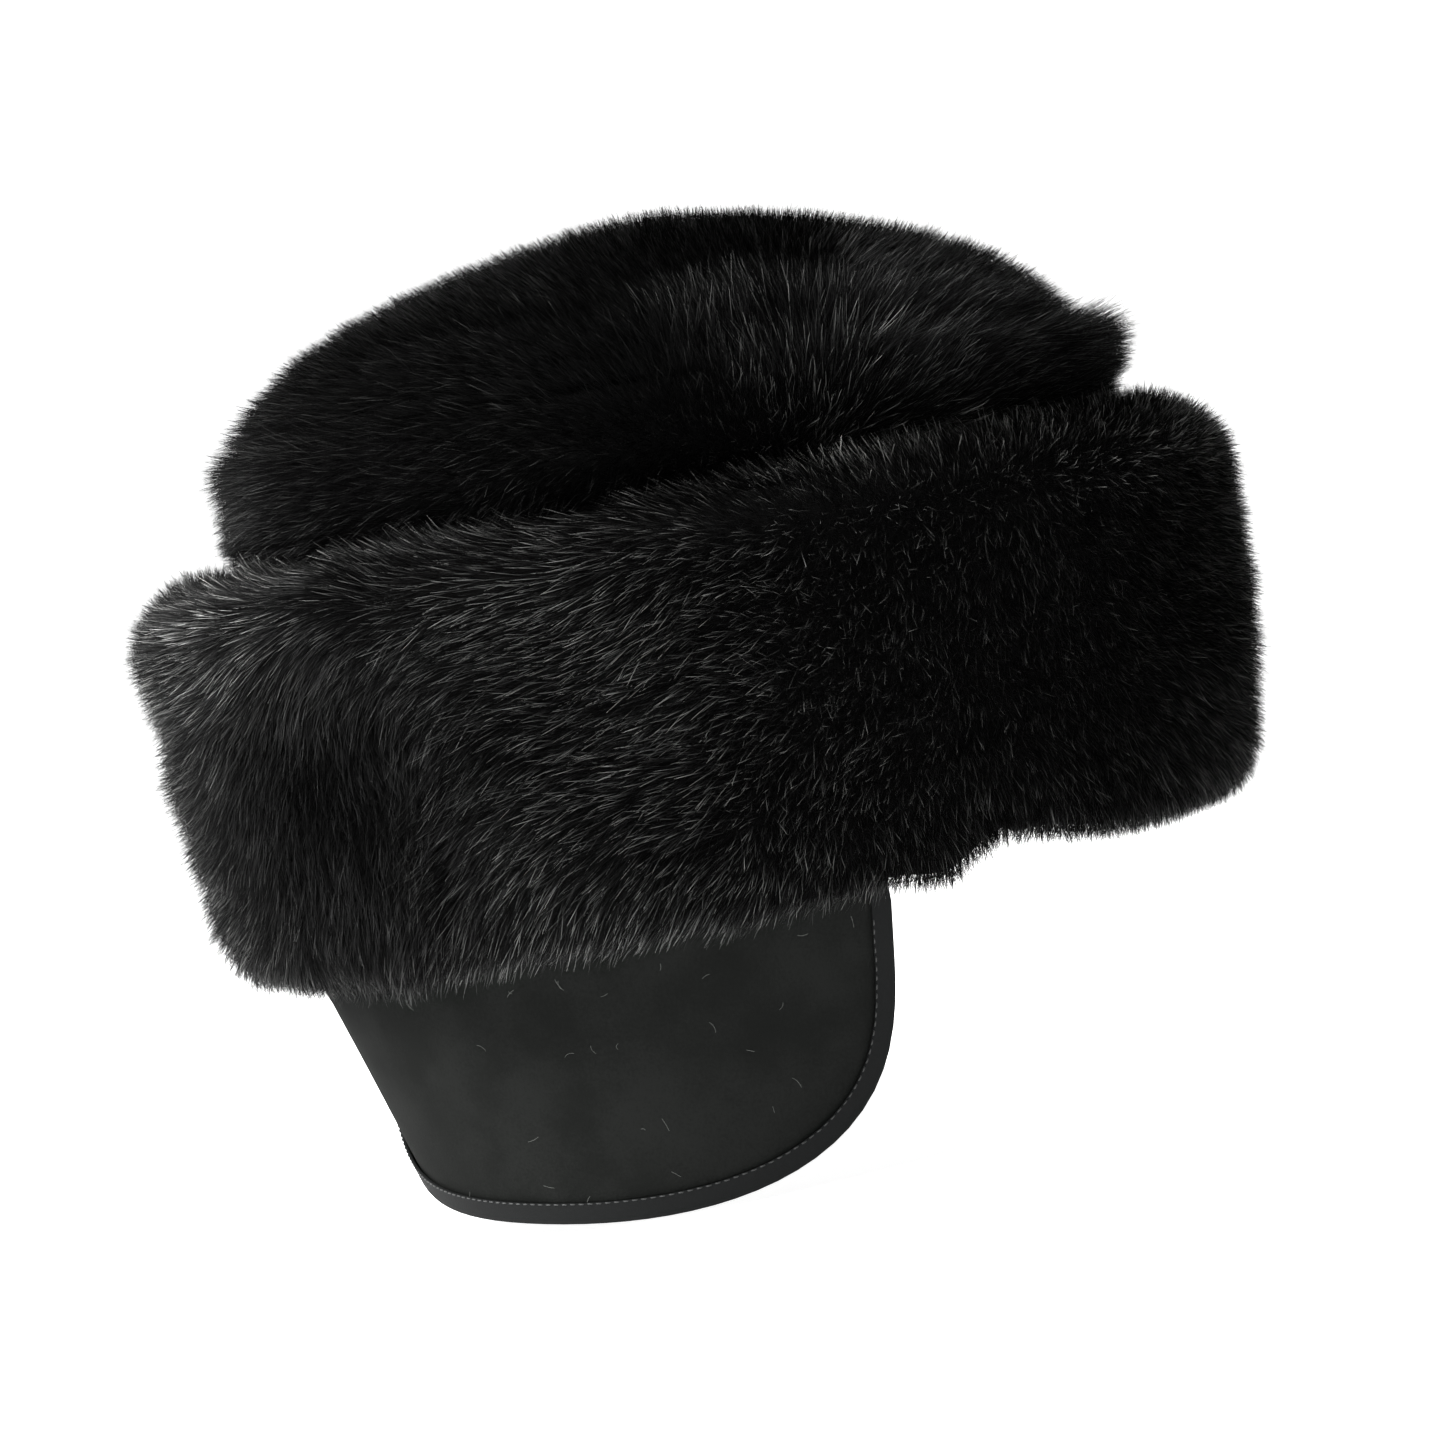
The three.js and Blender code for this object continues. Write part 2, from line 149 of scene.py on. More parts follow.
def new_tree(name, inputs, output):
    """An empty Geometry Nodes tree with named inputs and one output, and its input node."""
    tree = bpy.data.node_groups.new(name, "GeometryNodeTree")
    for label, kind in inputs:
        tree.interface.new_socket(name=label, in_out="INPUT", socket_type="NodeSocket" + kind)
    tree.interface.new_socket(name=output, in_out="OUTPUT", socket_type="NodeSocketGeometry")
    return tree, tree.nodes.new("NodeGroupInput")


def close_tree(tree, instances, material, output):
    """Turns a tree's instances to one painted mesh, and joins that to its output."""
    real = add_node(tree, "GeometryNodeRealizeInstances", {}, {"Geometry": instances})
    painted = add_node(tree, "GeometryNodeSetMaterial", {}, {
        "Geometry": (real, "Geometry"), "Material": material})
    add_node(tree, "NodeGroupOutput", {}, {output: (painted, "Geometry")})


def made_once(name, make):
    """The material of that name, made at its first use."""
    return bpy.data.materials.get(name) or make()


def show(mesh, name):
    """An object in the scene that carries a mesh."""
    piece = bpy.data.objects.new(name, mesh)
    bpy.context.scene.collection.objects.link(piece)
    return piece


def declare(piece, replaced=()):
    """Puts a piece on the root body, and hides the CAD nodes that it stands for."""
    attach(piece, "root")
    if replaced:
        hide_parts(*replaced)
    return piece


def cap_settings():
    """The sizes and colours that the scene holds."""
    return bpy.context.scene.fur_cap


def read(mesh, group, field):
    """A field of a mesh's vertices, normals or faces, three numbers to a row."""
    items = getattr(mesh, group)
    values = np.zeros(len(items) * 3, np.float32)
    items.foreach_get(field, values)
    return values.reshape(-1, 3).astype(float)


def keep(mesh, name, values, kind="FLOAT"):
    """Stores a number or a direction for each vertex."""
    layer = mesh.attributes.new(name, kind, "POINT")
    field = "value" if kind == "FLOAT" else "vector"
    layer.data.foreach_set(field, values.astype(np.float32).ravel())


def unit(vectors):
    """Rows of directions, each made one long."""
    return vectors / np.maximum(np.linalg.norm(vectors, axis=1, keepdims=True), 1e-9)


def graded(values, steps):
    """Reads values off a line through pairs of a value and a result."""
    places, results = zip(*steps)
    return np.interp(values, places, results)


def nearness(points, place, reach):
    """1 at a place, falling to 0 around it. The place and its reach are in mm."""
    return np.exp(-(np.linalg.norm(points / MM - np.array(place), axis=1) / reach) ** 2)


def angle_round(points):
    """Angle round the head at each point, in radians."""
    return np.arctan2(points[:, 0], -points[:, 1])


# Materials

TIP_ONLY = 4.6  # the higher, the less of a strand carries the painted glint, from its tip
FEW_PALE = 11.0  # the higher, the fewer strands carry the painted glint


def pile_fibre():
    """Black acrylic pile: smooth drawn fibre with a soft narrow glint, and a pale colour painted on the
    tips of a few strands as painted glints.
    """
    material, tree = new_material("black_acrylic_pile")
    props = cap_settings().pile
    along = add_node(tree, "ShaderNodeAttribute", {"attribute_name": "along"})
    shade = add_node(tree, "ShaderNodeAttribute", {"attribute_name": "shade"})
    few = add_node(tree, "ShaderNodeMath", {"operation": "POWER"}, {0: (shade, "Fac"), 1: FEW_PALE})
    outer = add_node(tree, "ShaderNodeMath", {"operation": "POWER"}, {0: (along, "Fac"), 1: TIP_ONLY})
    share = add_node(tree, "ShaderNodeMath", TIMES, {0: (outer, "Value"), 1: (few, "Value")})
    # Painted glints: the pale tip colour stands in for the highlights on the outer part of a few strands
    colour = add_node(tree, "ShaderNodeMix", {"data_type": "RGBA"}, {
        "Factor": (share, "Value"), "A": linear(props.root_colour), "B": linear(props.tip_glint_colour)})
    glint = add_node(tree, "ShaderNodeMapRange", {}, {
        "Value": (share, "Value"), "To Min": props.dull, "To Max": props.bright})
    shader = add_node(tree, "ShaderNodeBsdfPrincipled", {}, {
        "Base Color": (colour, "Result"), "Roughness": 0.36, "IOR": 1.5,
        "Specular IOR Level": (glint, "Result")})
    close_material(tree, shader)
    return material


def pile_backing():
    """Dense underfur on a knitted backing: matt and nearly black between the strands."""
    material, tree = new_material("black_underfur")
    props = cap_settings().pile
    where = add_node(tree, "ShaderNodeTexCoord")
    fleck = add_node(tree, "ShaderNodeTexNoise", {}, {
        "Vector": (where, "Object"), "Scale": 1 / (2.5 * MM), "Detail": 3.0})
    bump = add_node(tree, "ShaderNodeBump", {}, {
        "Height": (fleck, "Fac"), "Distance": 0.8 * MM, "Strength": 0.8})
    shader = add_node(tree, "ShaderNodeBsdfPrincipled", {}, {
        "Base Color": linear(props.backing_colour), "Roughness": 0.95, "Specular IOR Level": 0.05,
        "Normal": (bump, "Normal")})
    close_material(tree, shader)
    return material


def brushed_cotton():
    """Charcoal brushed cotton over a board: matt, with a faint nap and slow unevenness."""
    material, tree = new_material("charcoal_brushed_cotton")
    props = cap_settings().peak
    where = add_node(tree, "ShaderNodeTexCoord")
    nap = add_node(tree, "ShaderNodeTexNoise", {}, {
        "Vector": (where, "Object"), "Scale": 1 / (0.6 * MM), "Detail": 4.0, "Roughness": 0.7})
    cloud = add_node(tree, "ShaderNodeTexNoise", {}, {
        "Vector": (where, "Object"), "Scale": 1 / (14 * MM), "Detail": 2.0})
    both = add_node(tree, "ShaderNodeMath", TIMES, {0: (nap, "Fac"), 1: (cloud, "Fac")})
    spread = add_node(tree, "ShaderNodeMapRange", {}, {
        "Value": (both, "Value"), "From Min": 0.17, "From Max": 0.34})
    colour = add_node(tree, "ShaderNodeMix", {"data_type": "RGBA"}, {
        "Factor": (spread, "Result"), "A": linear(props.cloth_dark), "B": linear(props.cloth_light)})
    bump = add_node(tree, "ShaderNodeBump", {}, {
        "Height": (nap, "Fac"), "Distance": 0.12 * MM, "Strength": 0.6})
    shader = add_node(tree, "ShaderNodeBsdfPrincipled", {}, {
        "Base Color": (colour, "Result"), "Roughness": 0.95, "Specular IOR Level": 0.03,
        "Normal": (bump, "Normal")})
    close_material(tree, shader)
    return material


def cotton_tape():
    """Black cotton bias tape: a fine even weave, a little smoother than the cloth."""
    material, tree = new_material("black_cotton_tape")
    props = cap_settings().peak
    where = add_node(tree, "ShaderNodeTexCoord")
    weave = add_node(tree, "ShaderNodeTexNoise", {}, {
        "Vector": (where, "Object"), "Scale": 1 / (0.4 * MM), "Detail": 2.0})
    bump = add_node(tree, "ShaderNodeBump", {}, {
        "Height": (weave, "Fac"), "Distance": 0.08 * MM, "Strength": 0.6})
    shader = add_node(tree, "ShaderNodeBsdfPrincipled", {}, {
        "Base Color": linear(props.tape_colour), "Roughness": 0.8, "Specular IOR Level": 0.08,
        "Normal": (bump, "Normal")})
    close_material(tree, shader)
    return material


def sewing_thread():
    """Spun polyester sewing thread: slightly paler than the tape, with a soft shine."""
    material, tree = new_material("charcoal_sewing_thread")
    shader = add_node(tree, "ShaderNodeBsdfPrincipled", {}, {
        "Base Color": linear(cap_settings().peak.thread_colour), "Roughness": 0.5})
    close_material(tree, shader)
    return material


def lint_fibre():
    """Loose pale cotton fibres that brushed cloth picks up."""
    material, tree = new_material("pale_lint")
    shader = add_node(tree, "ShaderNodeBsdfPrincipled", {}, {
        "Base Color": linear(cap_settings().peak.lint_colour), "Roughness": 0.8})
    close_material(tree, shader)
    return material


# Soft bodies

RIM_ROUNDS = 5  # of smoothing that a rim gets first
FACE_ROUNDS = 14  # of smoothing for all that carries pile
RIM_FADE = 12 * MM  # over which a rim's own depth is reached
RIM_LIFT = 2.0 * MM  # makes up for what smoothing takes off a rim
RIM_TURN = 0.2  # how far a rim's faces look up or down at the least, as a share of straight
SIGHT_SLACK = 0.6 * MM  # what lies this close behind a seen wall is seen too
CUFF_RIMS = (18 * MM, 66 * MM)  # heights under and over which the cuff turns in
SIDE_PILE_FROM = 86 * MM  # below this height the cuff hides the side panel
SEAM_REACH = 12 * MM  # from the crown's seam, within which its two panels are brought together
TOP_SHIFT = (1.6 * MM, -3.0 * MM)  # how far out and up the top panel comes for it
SIDE_SHIFT = (0.3 * MM, 2.6 * MM)  # and the side panel
HANGING = (
    # place in mm, how far it reaches in mm, and how much lower the cuff's edge hangs there in mm
    ((92, -51, 5), 13, 7.6),  # before the notch
    ((98, -40, 6), 8, 3.4),  # at its slope
    ((112, -8, 6), 14, 1.6),  # after it
)


def merged(node):
    """A copy of a CAD node's mesh with its corners joined."""
    shape = bmesh.new()
    shape.from_mesh(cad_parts[node].data)
    bmesh.ops.remove_doubles(shape, verts=shape.verts, dist=MERGE)
    return shape


def from_head(points):
    """The way out of the head at each point."""
    return unit(points - np.array(HEAD_MIDDLE))


def seam_height(points):
    """Height of the seam between the crown's two panels, which is higher at the front."""
    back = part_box("crown_top")[0].z
    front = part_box("crown_side")[1].z
    return back + (front - back) * (1 + np.cos(angle_round(points))) / 2


def near_seam(points, reach):
    """1 at the seam, falling to 0 at some distance from it."""
    away = np.abs(points[:, 2] - seam_height(points)) / reach
    return np.clip(1 - away, 0, 1)[:, None]


def outer_verts(shape, rims):
    """The vertices that can't be seen from inside the head hollow, and those of the rims.

    Rims is a pair of heights: under the first, what faces down counts, and over the second,
    what faces up.
    """
    tree = BVHTree.FromBMesh(shape)
    found = []
    for vert in shape.verts:
        way = vert.co - HEAD_MIDDLE
        hit = tree.ray_cast(HEAD_MIDDLE, way.normalized())
        hidden = hit[0] is not None and hit[3] < way.length - SIGHT_SLACK
        under = vert.co.z < rims[0] and vert.normal.z < -RIM_TURN
        over = vert.co.z > rims[1] and vert.normal.z > RIM_TURN
        if hidden or under or over:
            found.append(vert)
    return found


def soften(shape, verts, rounds):
    """Smooths vertices towards their neighbours."""
    for _ in range(rounds):
        bmesh.ops.smooth_vert(
            shape, verts=verts, factor=0.5, use_axis_x=True, use_axis_y=True, use_axis_z=True)


def sink_face(verts, rims):
    """Lowers a piled face to the roots of its strands, and lifts its rims instead."""
    sink = cap_settings().pile.sink
    heights = [rims[0] - RIM_FADE, rims[0], rims[1], rims[1] + RIM_FADE]
    for vert in verts:
        rim = np.interp(vert.co.z, heights, [1, 0, 0, 1])
        vert.co -= vert.normal * (sink * (1 - rim) - RIM_LIFT * rim)


def pull_face(verts, seam_shift, hanging):
    """Brings a piled face to the crown's seam, and lets the cuff's edge hang in places."""
    places = np.array([vert.co for vert in verts])
    out, up = seam_shift
    moves = (unit(places * [1, 1, 0]) * out + UP * up) * near_seam(places, SEAM_REACH)
    for place, reach, drop in hanging:
        moves[:, 2] -= drop * MM * nearness(places, place, reach)
    for vert, move in zip(verts, moves):
        vert.co += Vector(move)


def soft_body(node, name, pile_from=BELOW, rims=(BELOW, ABOVE), seam_shift=(0.0, 0.0), hanging=()):
    """The padded form under the pile: a CAD solid with its locks smoothed away.

    Pile_from is the height above which it carries pile. Its face is sunk a little there, so
    that the tips of the strands, and not their roots, reach the outline of the solid. Beyond
    the rims, two heights, the locks are smoothed away further. Seam_shift is how far out and up
    it comes at the crown's seam, and hanging says where the cuff's edge hangs lower.
    """
    shape = merged(node)
    bmesh.ops.subdivide_edges(shape, edges=shape.edges, cuts=1, use_grid_fill=True)
    shape.normal_update()
    piled = [vert for vert in outer_verts(shape, rims) if vert.co.z > pile_from]
    soften(shape, [vert for vert in piled if not rims[0] < vert.co.z < rims[1]], RIM_ROUNDS)
    soften(shape, piled, FACE_ROUNDS)
    shape.normal_update()
    sink_face(piled, rims)
    pull_face(piled, seam_shift, hanging)
    shape.normal_update()
    layer = shape.faces.layers.int.new("patch")
    chosen = set(piled)
    for face in shape.faces:
        face.smooth = True
        face[layer] = int(all(vert in chosen for vert in face.verts))
    mesh = bpy.data.meshes.new(name)
    shape.to_mesh(mesh)
    shape.free()
    mesh.materials.append(made_once("black_underfur", pile_backing))
    return show(mesh, name)


# How the pile is combed

# How far the cuff's pile points down from its run round the head, in degrees, first by height as
# a share of the cuff's, and then what is added by the angle round the head in degrees
STEEP_BY_HEIGHT = ((0.0, 60), (0.12, 46), (0.28, 24), (0.5, 9), (0.8, 4), (1.0, -4))
STEEP_BY_ANGLE = ((-180, 20), (-120, 30), (-60, 4), (40, 0), (80, 34), (130, 34), (180, 20))
STEEPEST = 78
STROKED = (
    # place in mm, how far it reaches in mm, and how far the pile is turned there in degrees
    ((-8, -128, 44), 33, 125),
    ((-26, -120, 12), 18, 40),
)
# How steeply the cuff's pile stands, by the angle round the head in degrees
STAND_BY_ANGLE = ((-180, 1.9), (-90, 1.2), (-50, 0.9), (30, 0.9), (50, 2.0), (180, 1.9))
LYING_FROM = 20 * MM  # below this height it stands less and less
LYING_LOSS = 0.55  # share of its rise that it has lost at height 0 and under it
STEEP_LOSS = 0.18  # share of its length that it has lost where it stands twice as steep as usual
UNDER_FROM = 0.3  # where the body faces down more than this, its pile gets shorter
UNDER_LOSS = 0.4  # by this, times how much more it faces down

# Where the crown's pile points, in degrees from the right, by place in mm to the right
TOP_TURNS = ((-90, 176), (-25, 172), (-6, 140), (4, 98), (30, 78), (50, 45), (90, 12))
SIDE_TURNS = ((-90, 190), (-30, 186), (0, 168), (20, 125), (40, 60), (60, 20), (95, 0))
SEAM_BLEND = 16 * MM  # from the seam, within which the side panel's pile turns to the top's lie
SEAM_COVER = 10 * MM  # from the seam, within which the pile is flatter and longer
SEAM_FLATTER, SEAM_LONGER = 0.2, 0.5  # by these shares at the seam itself
RUFFLES_AND_PAINTED_LIGHT = (
    # place in mm, how far it reaches in mm, how much longer and steeper the pile is, and how much paler
    # its strands are painted there: painted light above 0, painted shade below 0
    ((57, -67, 119), 8, 0.5, -0.5, 0.08),  # ridge of ruffled pile on the crown, from its near end, with painted light
    ((67, -51, 119), 8, 0.5, -0.5, 0.08),
    ((78, -37, 113), 8, 0.35, -0.4, 0.06),
    ((85, -22, 102), 8, 0.2, -0.3, 0.05),  # to its far end
    ((50, -76, 106), 12, 0.0, 0.4, -0.20),  # dimple in front of the ridge, with painted shade
    ((80, -52, 98), 18, 0.0, -0.2, 0.16),  # between the ridge and the cuff, with painted light
    ((-3, -100, 115), 26, 0.0, 0.0, -0.05),  # left end of the crown, with painted shade
    ((82, -21, 88), 6, 1.2, 0.6, 0.15),  # tuft over the cuff, with painted light
    ((87, 32, 105), 12, 0.9, 0.5, 0.0),  # tuft at the end of the seam
    ((-8, -128, 44), 32, 0.0, 0.5, -0.29),  # stroked place at the left of the cuff, with painted shade
    ((-21, -123, 78), 24, 0.0, -0.2, 0.13),  # smooth place above it, with painted light
    ((60, -100, 62), 24, 0.0, -0.2, 0.02),  # and to its right, with a little painted light
)


def tangent(directions, normals):
    """Directions laid flat on a surface, as unit vectors."""
    inward = np.sum(directions * normals, axis=1, keepdims=True)
    return unit(directions - normals * inward)


def stroked(points):
    """How far the cuff's pile is turned, in degrees, where it was stroked against its lie."""
    turn = np.zeros(len(points))
    for place, reach, most in STROKED:
        turn += most * nearness(points, place, reach)
    return turn


def cuff_comb(points, normals):
    """The cuff's pile is stroked round the head, and hangs more and more towards its lower edge."""
    angle = angle_round(points)
    around = np.stack([np.cos(angle), np.sin(angle), 0 * angle], axis=1)
    low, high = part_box("cuff")
    height = (points[:, 2] - low.z) / (high.z - low.z)
    steep = graded(height, STEEP_BY_HEIGHT) + graded(np.degrees(angle), STEEP_BY_ANGLE)
    steep = np.radians(np.minimum(steep, STEEPEST) + stroked(points))[:, None]
    return tangent(-around * np.cos(steep) - UP * np.sin(steep), normals)


def turned_lie(points, up, turns):
    """A lie that turns from the cap's left to its right, as the camera sees it."""
    turn = np.radians(graded(points @ RIGHT / MM, turns))[:, None]
    return RIGHT[None, :] * np.cos(turn) + up[None, :] * np.sin(turn)


def crown_lie(points):
    """The crown's pile parts near the front dimple: it lies flat, then stands, then turns."""
    return turned_lie(points, 0.5 * FRONT + 0.9 * UP, TOP_TURNS)


def crown_comb(points, normals):
    """The lie of the top panel's pile on its surface."""
    return tangent(crown_lie(points), normals)


def side_comb(points, normals):
    """The side panel's pile lies round the head, and as that of the top panel at the seam."""
    near = near_seam(points, SEAM_BLEND)
    lie = turned_lie(points, UP, SIDE_TURNS) * (1 - near) + crown_lie(points) * near
    return tangent(lie, normals)


def cuff_stand(points, normals):
    """How steeply the cuff's pile stands, and how long it is: flat and long at the left."""
    stand = graded(np.degrees(angle_round(points)), STAND_BY_ANGLE)
    lying = np.clip(1 - points[:, 2] / LYING_FROM, 0, 1)
    under = np.clip(-normals[:, 2] - UNDER_FROM, 0, 1 - UNDER_FROM)
    length = 1 - STEEP_LOSS * np.clip(stand - 1, 0, 1) - UNDER_LOSS * under
    return stand * (1 - LYING_LOSS * lying), length


def crown_stand(points, normals):
    """The same for the crown: longer at the seam, which it hides."""
    near = near_seam(points, SEAM_COVER)[:, 0]
    return 1 - SEAM_FLATTER * near, 1 + SEAM_LONGER * near


def ruffles_and_painted_light(points):
    """How much longer and steeper than usual the pile is at each point, and the light and shade painted
    on it as a share of the usual paleness.
    """
    amounts = [np.ones(len(points)) for _ in range(3)]
    for place, reach, *changes in RUFFLES_AND_PAINTED_LIGHT:
        near = nearness(points, place, reach)
        for amount, change in zip(amounts, changes):
            amount += change * near
    return amounts


def comb(body, rule, stand_rule, seam=0.0):
    """Stores on a body the way its pile lies, how long and steep it is, and the light and shade painted
    on it.

    Seam is how far the pile at the crown's seam stands away from the head and not from the body.
    """
    mesh = body.data
    points = read(mesh, "vertices", "co")
    normals = read(mesh, "vertex_normals", "vector")
    near = near_seam(points, SEAM_REACH) * seam
    normals = unit(normals * (1 - near) + from_head(points) * near)
    keep(mesh, "outward", normals, "FLOAT_VECTOR")
    keep(mesh, "comb", rule(points, normals), "FLOAT_VECTOR")
    longer, steeper, paler = ruffles_and_painted_light(points)
    stand, length = stand_rule(points, normals)
    keep(mesh, "growth", longer * length)
    keep(mesh, "stand", steeper * stand)
    # Painted light and shade of each place, which makes its strands paler or darker
    keep(mesh, "sheen", paler)


def split_round(body, parts):
    """Numbers the patches of pile round the head, so that each can be its own mesh."""
    patch = body.data.attributes["patch"]
    values = np.zeros(len(body.data.polygons), np.int32)
    patch.data.foreach_get("value", values)
    share = angle_round(read(body.data, "polygons", "center")) / (2 * math.pi) + 0.5
    numbers = np.minimum((share * parts).astype(np.int32), parts - 1) + 1
    patch.data.foreach_set("value", np.where(values > 0, numbers, 0).astype(np.int32))


# The pile itself

STRAND_WIDEST = 0.38  # where a strand is widest, as a share of its length
STRAND_BOW = 0.09  # how far it bows outwards there
STRAND_LENGTHS = (0.62, 1.15)  # shortest and longest, as shares of the usual length
STRAND_WIDTHS = (0.6, 1.3)  # narrowest and widest, as shares of the usual width
STRAND_ROLL = 0.9  # how far a strand is turned about itself either way, in radians
TUFT_SIZE = 6 * MM  # strands lean together within about this size
SWIRL_SIZE = 26 * MM  # and the lie of the pile wanders over about this size
SWIRL = 1.4  # by this much
STRAY_SEED, ROLL_SEED, LENGTH_SEED, WIDTH_SEED, SHADE_SEED = 7, 3, 1, 2, 5
CROWN_PILE = {"length": 0.8, "rise": 2.3, "ruffle": 2.0, "pale": 0.893}  # against the cuff's; the lower pale paints shade over the whole crown


def strand_shape():
    """One strand: a flat tapering blade, a unit long, that bows outwards. Along is 0 at its root."""
    corners = [
        (0, 0, 0), (0.5, STRAND_BOW, STRAND_WIDEST), (-0.5, STRAND_BOW, STRAND_WIDEST), (0, 0, 1)]
    mesh = bpy.data.meshes.new("strand")
    mesh.from_pydata(corners, [], [(0, 1, 2), (2, 1, 3)])
    along = mesh.attributes.new("along", "FLOAT", "POINT")
    along.data.foreach_set("value", [corner[2] for corner in corners])
    return show(mesh, "strand")


def pile_tree():
    """Geometry Nodes: strands scattered on a patch, combed, clumped, and turned to a mesh."""
    tree, inputs = new_tree("combed_pile", (
        ("Body", "Geometry"), ("Strand", "Object"), ("Fibre", "Material"), ("Patch", "Int"),
        ("Density", "Float"), ("Length", "Float"), ("Width", "Float"), ("Rise", "Float"),
        ("Clump", "Float"), ("Ruffle", "Float"), ("Pale", "Float"), ("Root", "Float"),
        ("Seed", "Int")), "Pile")

    # Roots, on one patch of the body
    patch = add_node(tree, "GeometryNodeInputNamedAttribute", {"data_type": "INT"}, {"Name": "patch"})
    chosen = add_node(tree, "FunctionNodeCompare", {"data_type": "INT", "operation": "EQUAL"}, {
        "A": (patch, "Attribute"), "B": (inputs, "Patch")})
    scatter = add_node(tree, "GeometryNodeDistributePointsOnFaces", {"distribute_method": "RANDOM"}, {
        "Mesh": (inputs, "Body"), "Selection": (chosen, "Result"),
        "Density": (inputs, "Density"), "Seed": (inputs, "Seed")})
    depth = add_node(tree, "ShaderNodeMath", TIMES, {0: (inputs, "Root"), 1: -1.0})
    inwards = add_node(tree, "ShaderNodeVectorMath", SCALED, {
        0: (scatter, "Normal"), "Scale": (depth, "Value")})
    rooted = add_node(tree, "GeometryNodeSetPosition", {}, {
        "Geometry": (scatter, "Points"), "Offset": (inwards, "Vector")})

    # The way each strand leans: its comb, how it stands, its tuft, the swirl and its own straying
    lie, outward = (
        add_node(tree, "GeometryNodeInputNamedAttribute", DIRECTION, {"Name": name})
        for name in ("comb", "outward"))
    growth, stand, sheen = (
        add_node(tree, "GeometryNodeInputNamedAttribute", NUMBER, {"Name": name})
        for name in ("growth", "stand", "sheen"))
    place = tree.nodes.new("GeometryNodeInputPosition")

    def wander(size, amount):
        """A direction that changes slowly over the surface."""
        field = add_node(tree, "ShaderNodeTexNoise", {}, {
            "Vector": (place, "Position"), "Scale": 1 / size, "Detail": 1.0})
        centred = add_node(tree, "ShaderNodeVectorMath", {"operation": "SUBTRACT"}, {
            0: (field, "Color"), 1: (0.5, 0.5, 0.5)})
        return add_node(tree, "ShaderNodeVectorMath", SCALED, {0: (centred, "Vector"), "Scale": amount})

    rise = add_node(tree, "ShaderNodeMath", TIMES, {0: (stand, "Attribute"), 1: (inputs, "Rise")})
    lift = add_node(tree, "ShaderNodeVectorMath", SCALED, {
        0: (outward, "Attribute"), "Scale": (rise, "Value")})
    lean = add_node(tree, "ShaderNodeVectorMath", PLUS, {0: (lie, "Attribute"), 1: (lift, "Vector")})
    tufts = wander(TUFT_SIZE, (inputs, "Clump"))
    swirls = wander(SWIRL_SIZE, SWIRL)
    stray = add_node(tree, "FunctionNodeRandomValue", DIRECTION, {
        "Min": (-1.0, -1.0, -1.0), "Max": (1.0, 1.0, 1.0), "Seed": STRAY_SEED})
    strays = add_node(tree, "ShaderNodeMath", TIMES, {0: (stand, "Attribute"), 1: (inputs, "Ruffle")})
    loose = add_node(tree, "ShaderNodeVectorMath", SCALED, {
        0: (stray, "Value"), "Scale": (strays, "Value")})
    for extra in (tufts, swirls, loose):
        lean = add_node(tree, "ShaderNodeVectorMath", PLUS, {0: (lean, "Vector"), 1: (extra, "Vector")})
    along = add_node(tree, "FunctionNodeAlignRotationToVector", {"axis": "Z"}, {
        "Vector": (lean, "Vector")})
    faced = add_node(tree, "FunctionNodeAlignRotationToVector", {"axis": "Y", "pivot_axis": "Z"}, {
        "Rotation": (along, "Rotation"), "Vector": (outward, "Attribute")})
    roll = add_node(tree, "FunctionNodeRandomValue", NUMBER, {
        "Min": -STRAND_ROLL, "Max": STRAND_ROLL, "Seed": ROLL_SEED})
    spin = add_node(tree, "ShaderNodeCombineXYZ", {}, {"Z": (roll, "Value")})
    turned = add_node(tree, "FunctionNodeRotateRotation", {"rotation_space": "LOCAL"}, {
        "Rotation": (faced, "Rotation"), "Rotate By": (spin, "Vector")})

    # How long and wide it is
    share = add_node(tree, "FunctionNodeRandomValue", NUMBER, {
        "Min": STRAND_LENGTHS[0], "Max": STRAND_LENGTHS[1], "Seed": LENGTH_SEED})
    grown = add_node(tree, "ShaderNodeMath", TIMES, {0: (share, "Value"), 1: (growth, "Attribute")})
    tall = add_node(tree, "ShaderNodeMath", TIMES, {0: (grown, "Value"), 1: (inputs, "Length")})
    fat = add_node(tree, "FunctionNodeRandomValue", NUMBER, {
        "Min": STRAND_WIDTHS[0], "Max": STRAND_WIDTHS[1], "Seed": WIDTH_SEED})
    wide = add_node(tree, "ShaderNodeMath", TIMES, {0: (fat, "Value"), 1: (inputs, "Width")})
    size = add_node(tree, "ShaderNodeCombineXYZ", {}, {
        "X": (wide, "Value"), "Y": (tall, "Value"), "Z": (tall, "Value")})

    # The strands, each with its own random shade, under the painted light and shade of its place
    blade = add_node(tree, "GeometryNodeObjectInfo", {"transform_space": "ORIGINAL"}, {
        "Object": (inputs, "Strand"), "As Instance": True})
    strands = add_node(tree, "GeometryNodeInstanceOnPoints", {}, {
        "Points": (rooted, "Geometry"), "Instance": (blade, "Geometry"),
        "Rotation": (turned, "Rotation"), "Scale": (size, "Vector")})
    # The palest a strand may be: the painted light and shade of its place, times the patch's pale
    palest = add_node(tree, "ShaderNodeMath", TIMES, {0: (sheen, "Attribute"), 1: (inputs, "Pale")})
    tone = add_node(tree, "FunctionNodeRandomValue", NUMBER, {
        "Min": 0.0, "Max": (palest, "Value"), "Seed": SHADE_SEED})
    kept = add_node(
        tree, "GeometryNodeStoreNamedAttribute", {"data_type": "FLOAT", "domain": "INSTANCE"}, {
            "Geometry": (strands, "Instances"), "Name": "shade", "Value": (tone, "Value")})
    close_tree(tree, (kept, "Geometry"), (inputs, "Fibre"), "Pile")
    return tree


